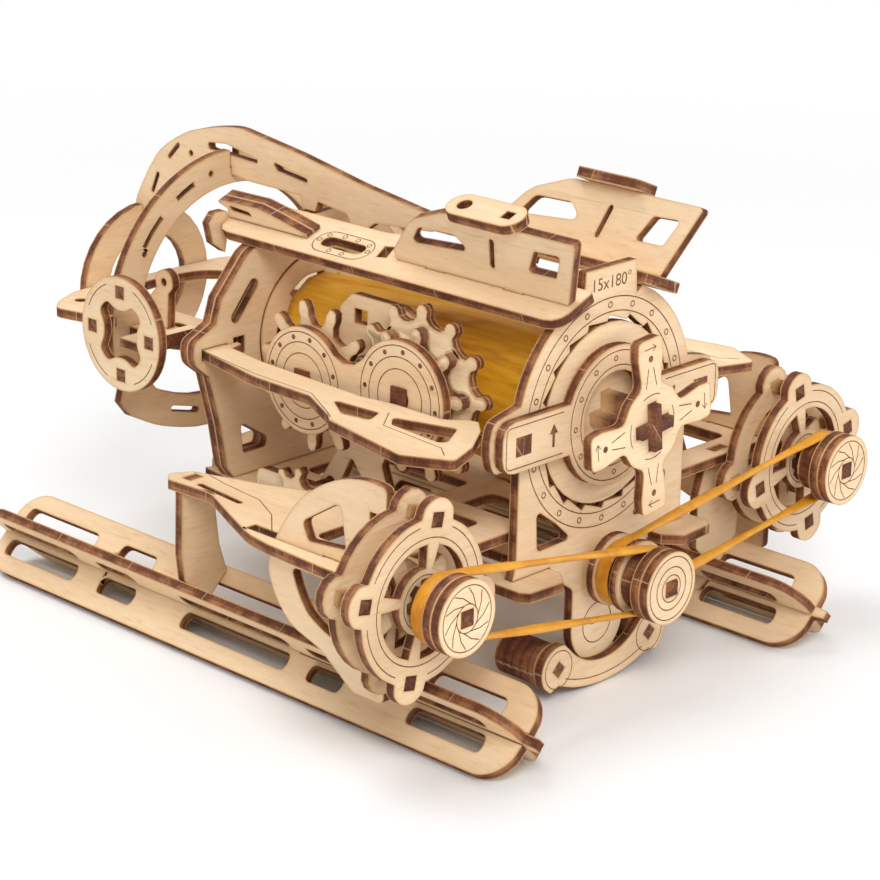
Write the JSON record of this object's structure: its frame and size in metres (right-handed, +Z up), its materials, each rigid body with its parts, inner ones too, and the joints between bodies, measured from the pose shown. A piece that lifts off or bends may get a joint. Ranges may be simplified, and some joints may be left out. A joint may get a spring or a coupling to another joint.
{
  "type": "wooden mechanical model craft",
  "caption": "Laser-cut plywood wind-up craft on two skis, with an open gear train, a winding key at the stern and two belt-driven side pods.",
  "frame": {"origin": "middle of the bounding box on the surface that the skis stand on", "axes": "+X to starboard, +Y towards the bow ring, +Z up; the stern dial faces -Y"},
  "size_m": [0.217, 0.2301, 0.139],
  "materials": {
    "birch_ply": "matt",
    "rubber": "satin"
  },
  "bodies": {
    "hull": {"arch_frame": "birch_ply", "arrow_fin": "birch_ply", "belt_left": "rubber", "belt_right": "rubber", "bottom_link": "birch_ply", "bow_bulkhead": "birch_ply", "bow_disc": "birch_ply", "bow_ring": "birch_ply", "deck_plate": "birch_ply", "drum_left": "birch_ply", "drum_right": "birch_ply", "end_plate_left": "birch_ply", "far_bracket_left": "birch_ply", "far_bracket_right": "birch_ply", "fin_cap_left": "birch_ply", "fin_cap_right": "birch_ply", "fin_left": "birch_ply", "fin_right": "birch_ply", "gear_cover": "birch_ply", "gear_frame_left": "birch_ply", "gear_frame_right": "birch_ply", "near_bracket_left": "birch_ply", "near_bracket_right": "birch_ply", "nose_bracket": "birch_ply", "nose_platform": "birch_ply", "pod_back_left": "birch_ply", "pod_back_right": "birch_ply", "pod_front_left": "birch_ply", "pod_front_right": "birch_ply", "pod_profile_left": "birch_ply", "pod_profile_right": "birch_ply", "roof_panel_left": "birch_ply", "roof_panel_right": "birch_ply", "rubber_motor": "rubber", "side_rail_left": "birch_ply", "side_rail_right": "birch_ply", "side_wheel_left": "birch_ply", "side_wheel_right": "birch_ply", "ski_inner_left": "birch_ply", "ski_inner_right": "birch_ply", "ski_outer_left": "birch_ply", "ski_outer_right": "birch_ply", "spine_plate": "birch_ply", "stern_plate": "birch_ply", "winding_bar": "birch_ply", "wing_left": "birch_ply", "wing_right": "birch_ply"},
    "winder": {"cross_key": "birch_ply", "ratchet_disc": "birch_ply"},
    "gear_stern_body": {"gear_stern": "birch_ply"},
    "gear_bow_body": {"gear_bow": "birch_ply"},
    "lay_pinion_body": {"lay_pinion": "birch_ply"},
    "middle_drive": {"middle_pulley": "birch_ply", "middle_spool": "birch_ply"},
    "pod_drive_left": {"pod_pulley_left": "birch_ply", "pod_spool_left": "birch_ply", "propeller_left": "birch_ply"},
    "pod_drive_right": {"pod_pulley_right": "birch_ply", "pod_spool_right": "birch_ply", "propeller_right": "birch_ply"}
  },
  "joints": [
    {"name": "winder_turn", "type": "hinge", "parent": "hull", "child": "winder", "pos_m": [0, -0.081, 0.0792], "axis": [0, 1, 0], "continuous": true},
    {"name": "gear_stern_spin", "type": "hinge", "parent": "hull", "child": "gear_stern_body", "pos_m": [-0.0325, -0.041, 0.0824], "axis": [1, 0, 0], "continuous": true},
    {"name": "gear_bow_spin", "type": "hinge", "parent": "hull", "child": "gear_bow_body", "pos_m": [-0.0325, -0.003, 0.0787], "axis": [1, 0, 0], "continuous": true},
    {"name": "lay_pinion_spin", "type": "hinge", "parent": "hull", "child": "lay_pinion_body", "pos_m": [-0.0395, -0.0004, 0.0441], "axis": [1, 0, 0], "continuous": true},
    {"name": "middle_spin", "type": "hinge", "parent": "hull", "child": "middle_drive", "pos_m": [0, -0.081, 0.0348], "axis": [0, 1, 0], "continuous": true},
    {"name": "pod_spin_left", "type": "hinge", "parent": "hull", "child": "pod_drive_left", "pos_m": [-0.0814, -0.081, 0.049], "axis": [0, 1, 0], "continuous": true},
    {"name": "pod_spin_right", "type": "hinge", "parent": "hull", "child": "pod_drive_right", "pos_m": [0.0814, -0.081, 0.049], "axis": [0, 1, 0], "continuous": true}
  ],
  "couplings": [
    {"joint": "gear_bow_spin", "follows": "gear_stern_spin", "ratio": -0.81818},
    {"joint": "lay_pinion_spin", "follows": "gear_stern_spin", "ratio": 1.5},
    {"joint": "middle_spin", "follows": "gear_stern_spin", "ratio": 1.5},
    {"joint": "pod_spin_left", "follows": "gear_stern_spin", "ratio": 1.5},
    {"joint": "pod_spin_right", "follows": "gear_stern_spin", "ratio": 1.5}
  ]
}
